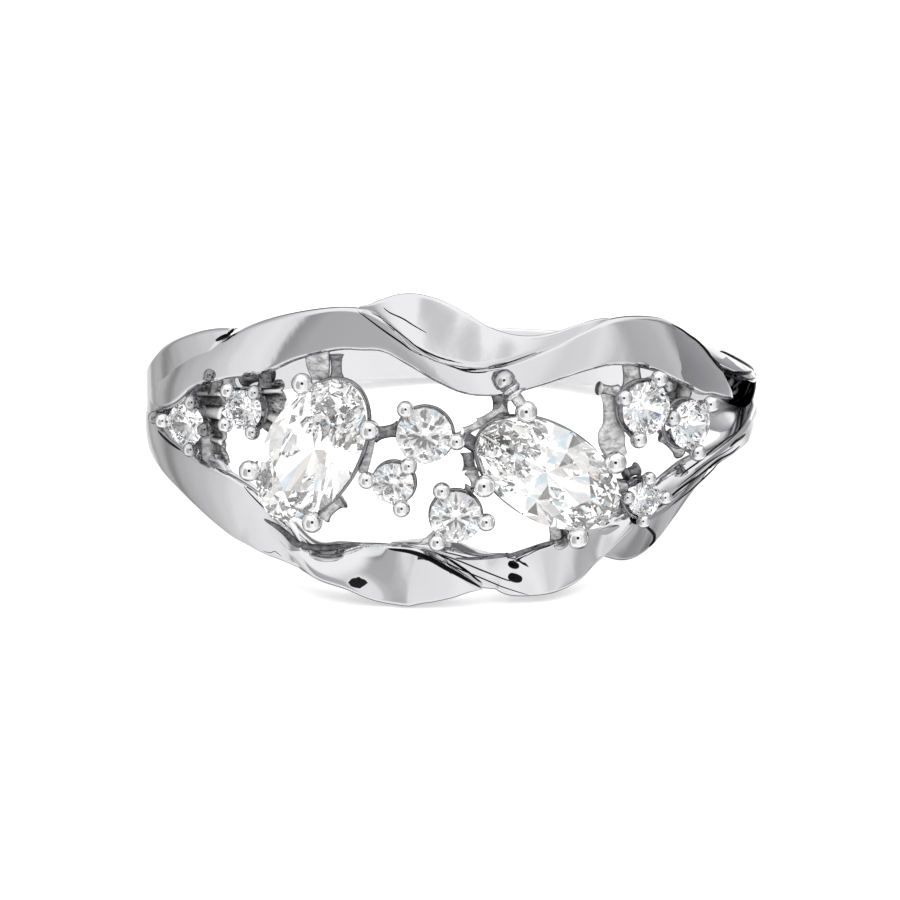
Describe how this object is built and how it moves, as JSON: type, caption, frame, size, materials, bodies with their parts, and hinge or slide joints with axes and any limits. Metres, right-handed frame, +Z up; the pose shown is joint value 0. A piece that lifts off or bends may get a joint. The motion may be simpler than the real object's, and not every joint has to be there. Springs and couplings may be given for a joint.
{
  "type": "cubic zirconia ring",
  "caption": "Openwork silver ring with twisted ribbons framing oval and round clear stones in prong baskets, lying on its side.",
  "frame": {"origin": "middle of the ring's box, on the surface that it lies on", "axes": "+Z up from the surface, -Y toward the stones; the finger's axis leans 12.4 degrees back from +Z toward +Y"},
  "size_m": [0.02, 0.0204, 0.0097],
  "materials": {
    "metal": "polished rhodium plate on silver",
    "stone": "clear, brilliant cut"
  },
  "bodies": {
    "root": {"ring_body": "metal", "oval_stone_left": "stone", "oval_stone_right": "stone", "round_stone_far_left": "stone", "round_stone_left": "stone", "round_stone_centre_high": "stone", "round_stone_centre_small": "stone", "round_stone_centre_low": "stone", "round_stone_right_high": "stone", "round_stone_right_outer": "stone", "round_stone_right_low": "stone"}
  },
  "joints": []
}
